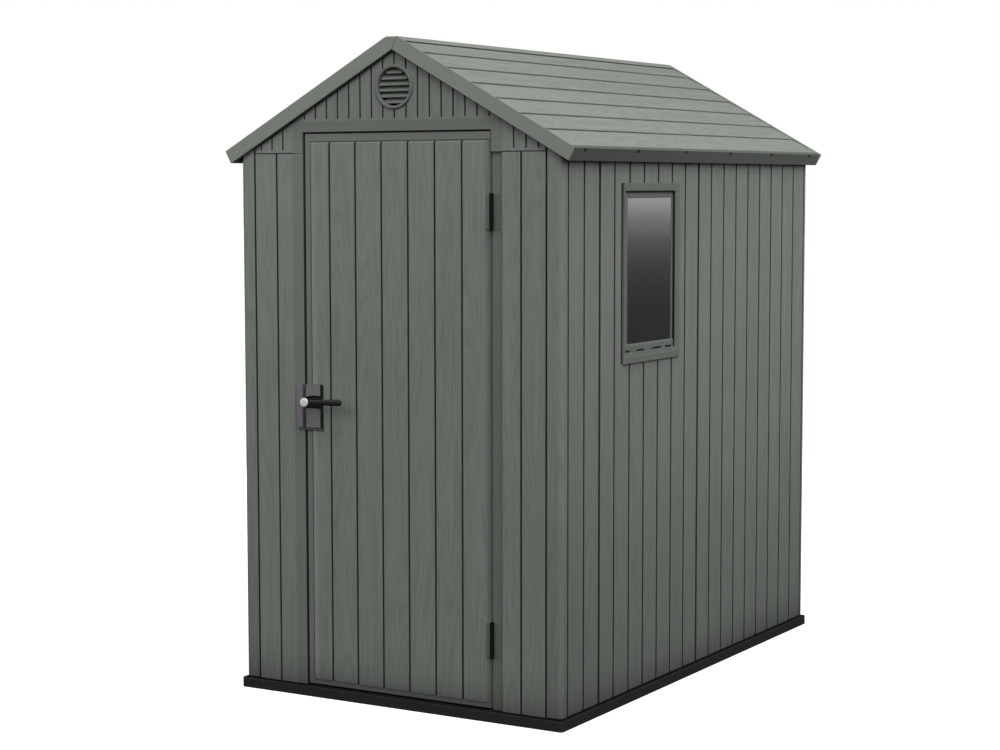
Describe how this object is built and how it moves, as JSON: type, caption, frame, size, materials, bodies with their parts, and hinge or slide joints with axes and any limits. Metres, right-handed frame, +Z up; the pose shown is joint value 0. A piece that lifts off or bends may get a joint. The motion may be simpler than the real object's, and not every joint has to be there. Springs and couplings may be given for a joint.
{
  "type": "plastic tool shed",
  "caption": "Moulded plastic tool shed with a gabled roof, boarded panel walls, a dark floor, a hinged front door with a lever handle and a fixed side window.",
  "frame": {"origin": "on the ground under the middle of the walls, on the underside of the floor", "axes": "+Z up; the door faces -Y; the side wall with the window faces +X"},
  "size_m": [1.258, 1.8885, 2.05],
  "materials": {
    "wall_plastic": "matt grey-green moulded resin with a fine brushed wood grain",
    "roof_plastic": "matt grey-green moulded resin",
    "floor_plastic": "matt near-black moulded resin",
    "black_plastic": "satin black",
    "lock_plastic": "satin dark grey",
    "chrome": "satin chrome",
    "steel": "galvanised",
    "pane": "tinted acrylic"
  },
  "bodies": {
    "shed": {"floor_front": "floor_plastic", "floor_rear": "floor_plastic", "corner_post_front_left": "wall_plastic", "corner_post_front_right": "wall_plastic", "corner_post_rear_left": "wall_plastic", "corner_post_rear_right": "wall_plastic", "front_panel_left": "wall_plastic", "front_panel_right": "wall_plastic", "jamb_left": "wall_plastic", "jamb_right": "wall_plastic", "door_head": "wall_plastic", "front_gable": "wall_plastic", "vent_front": "wall_plastic", "right_wall_front": "wall_plastic", "right_wall_window": "wall_plastic", "right_wall_middle": "wall_plastic", "right_wall_rear": "wall_plastic", "left_wall_front": "wall_plastic", "left_wall_middle": "wall_plastic", "left_wall_rear": "wall_plastic", "back_wall_left": "wall_plastic", "back_wall_right": "wall_plastic", "rear_gable": "wall_plastic", "vent_rear": "wall_plastic", "window_frame": "wall_plastic", "window_pane": "pane", "roof_left": "roof_plastic", "roof_right": "roof_plastic", "ridge_cap": "roof_plastic", "barge_front_left": "roof_plastic", "barge_front_right": "roof_plastic", "barge_rear_left": "roof_plastic", "barge_rear_right": "roof_plastic", "eave_left": "roof_plastic", "eave_right": "roof_plastic", "ridge_beam": "steel", "keeper": "lock_plastic", "hinge_frame_upper": "black_plastic", "hinge_frame_lower": "black_plastic"},
    "door": {"door_leaf": "wall_plastic", "hinge_door_upper": "black_plastic", "hinge_door_lower": "black_plastic", "lock_case": "lock_plastic"},
    "lever": {"lever_handle": "black_plastic", "lock_cylinder": "chrome"}
  },
  "joints": [
    {"name": "door_hinge", "type": "hinge", "parent": "shed", "child": "door", "pos_m": [0.344, -0.9146, 0.9], "axis": [0, 0, 1], "range_deg": [0, 120]},
    {"name": "lever_turn", "type": "hinge", "parent": "door", "child": "lever", "pos_m": [-0.305, -0.94, 0.936], "axis": [0, 1, 0], "range_deg": [0, 40], "stiffness_Nm_per_rad": 0.8, "springref_deg": -20.05}
  ]
}
